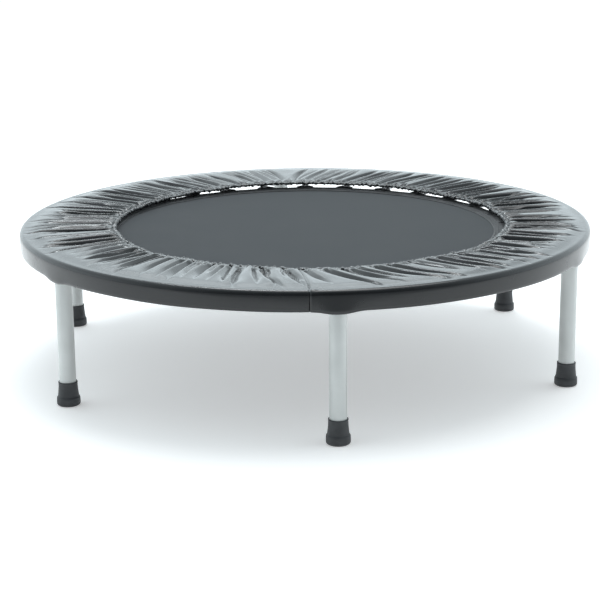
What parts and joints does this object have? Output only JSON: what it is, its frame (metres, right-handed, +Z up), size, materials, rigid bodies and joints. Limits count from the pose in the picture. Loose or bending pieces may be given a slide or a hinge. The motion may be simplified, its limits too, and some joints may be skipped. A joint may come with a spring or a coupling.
{
  "type": "mini trampoline",
  "caption": "Low round trampoline with a gathered glossy spring cover, woven mat, tube legs that screw off and rubber feet.",
  "frame": {"origin": "on the floor under the middle of the mat", "axes": "+Z up, -Y towards leg 1, legs numbered anticlockwise seen from above"},
  "size_m": [0.9143, 0.9196, 0.2255],
  "materials": {
    "hoop_steel": "satin silver-grey paint",
    "leg_steel": "satin silver-grey paint",
    "zinc_steel": "zinc plated",
    "spring_steel": "zinc plated wire",
    "cover_vinyl": "glossy coated vinyl, gathered",
    "elastic": "covered elastic",
    "mat_weave": "matt plain weave",
    "webbing": "woven webbing",
    "washer_nylon": "moulded",
    "foot_rubber": "moulded rubber"
  },
  "bodies": {
    "frame": {"frame_hoop": "hoop_steel", "springs": "spring_steel", "spring_cover": "cover_vinyl", "inner_elastic": "elastic", "outer_elastic": "elastic", "leg_1_seat": "leg_steel", "leg_1_stud": "zinc_steel", "leg_2_seat": "leg_steel", "leg_2_stud": "zinc_steel", "leg_3_seat": "leg_steel", "leg_3_stud": "zinc_steel", "leg_4_seat": "leg_steel", "leg_4_stud": "zinc_steel", "leg_5_seat": "leg_steel", "leg_5_stud": "zinc_steel", "leg_6_seat": "leg_steel", "leg_6_stud": "zinc_steel"},
    "bed": {"mat": "mat_weave", "mat_binding": "webbing", "mat_loops": "webbing", "mat_rings": "zinc_steel"},
    "washer_1": {"leg_1_washer": "washer_nylon"},
    "leg_1": {"leg_1_tube": "leg_steel", "leg_1_nut": "zinc_steel", "leg_1_foot_plate": "zinc_steel", "leg_1_foot": "foot_rubber"},
    "washer_2": {"leg_2_washer": "washer_nylon"},
    "leg_2": {"leg_2_tube": "leg_steel", "leg_2_nut": "zinc_steel", "leg_2_foot_plate": "zinc_steel", "leg_2_foot": "foot_rubber"},
    "washer_3": {"leg_3_washer": "washer_nylon"},
    "leg_3": {"leg_3_tube": "leg_steel", "leg_3_nut": "zinc_steel", "leg_3_foot_plate": "zinc_steel", "leg_3_foot": "foot_rubber"},
    "washer_4": {"leg_4_washer": "washer_nylon"},
    "leg_4": {"leg_4_tube": "leg_steel", "leg_4_nut": "zinc_steel", "leg_4_foot_plate": "zinc_steel", "leg_4_foot": "foot_rubber"},
    "washer_5": {"leg_5_washer": "washer_nylon"},
    "leg_5": {"leg_5_tube": "leg_steel", "leg_5_nut": "zinc_steel", "leg_5_foot_plate": "zinc_steel", "leg_5_foot": "foot_rubber"},
    "washer_6": {"leg_6_washer": "washer_nylon"},
    "leg_6": {"leg_6_tube": "leg_steel", "leg_6_nut": "zinc_steel", "leg_6_foot_plate": "zinc_steel", "leg_6_foot": "foot_rubber"}
  },
  "joints": [
    {"name": "bed_bounce", "type": "slide", "parent": "frame", "child": "bed", "axis": [0, 0, 1], "range_m": [-0.07, 0], "stiffness_N_per_m": 15000, "deforming": ["springs"]},
    {"name": "leg_1_drop", "type": "slide", "parent": "frame", "child": "washer_1", "axis": [0, 0, 1], "range_m": [-0.012, 0]},
    {"name": "leg_1_unscrew", "type": "hinge", "parent": "washer_1", "child": "leg_1", "pos_m": [0, -0.442, 0.18], "axis": [0, 0, 1], "range_deg": [-2880, 0]},
    {"name": "leg_2_drop", "type": "slide", "parent": "frame", "child": "washer_2", "axis": [0, 0, 1], "range_m": [-0.012, 0]},
    {"name": "leg_2_unscrew", "type": "hinge", "parent": "washer_2", "child": "leg_2", "pos_m": [0.38278, -0.221, 0.18], "axis": [0, 0, 1], "range_deg": [-2880, 0]},
    {"name": "leg_3_drop", "type": "slide", "parent": "frame", "child": "washer_3", "axis": [0, 0, 1], "range_m": [-0.012, 0]},
    {"name": "leg_3_unscrew", "type": "hinge", "parent": "washer_3", "child": "leg_3", "pos_m": [0.38278, 0.221, 0.18], "axis": [0, 0, 1], "range_deg": [-2880, 0]},
    {"name": "leg_4_drop", "type": "slide", "parent": "frame", "child": "washer_4", "axis": [0, 0, 1], "range_m": [-0.012, 0]},
    {"name": "leg_4_unscrew", "type": "hinge", "parent": "washer_4", "child": "leg_4", "pos_m": [0, 0.442, 0.18], "axis": [0, 0, 1], "range_deg": [-2880, 0]},
    {"name": "leg_5_drop", "type": "slide", "parent": "frame", "child": "washer_5", "axis": [0, 0, 1], "range_m": [-0.012, 0]},
    {"name": "leg_5_unscrew", "type": "hinge", "parent": "washer_5", "child": "leg_5", "pos_m": [-0.38278, 0.221, 0.18], "axis": [0, 0, 1], "range_deg": [-2880, 0]},
    {"name": "leg_6_drop", "type": "slide", "parent": "frame", "child": "washer_6", "axis": [0, 0, 1], "range_m": [-0.012, 0]},
    {"name": "leg_6_unscrew", "type": "hinge", "parent": "washer_6", "child": "leg_6", "pos_m": [-0.38278, -0.221, 0.18], "axis": [0, 0, 1], "range_deg": [-2880, 0]}
  ],
  "couplings": [
    {"joint": "leg_1_unscrew", "follows": "leg_1_drop", "rad_per_m": 4188.8},
    {"joint": "leg_2_unscrew", "follows": "leg_2_drop", "rad_per_m": 4188.8},
    {"joint": "leg_3_unscrew", "follows": "leg_3_drop", "rad_per_m": 4188.8},
    {"joint": "leg_4_unscrew", "follows": "leg_4_drop", "rad_per_m": 4188.8},
    {"joint": "leg_5_unscrew", "follows": "leg_5_drop", "rad_per_m": 4188.8},
    {"joint": "leg_6_unscrew", "follows": "leg_6_drop", "rad_per_m": 4188.8}
  ]
}
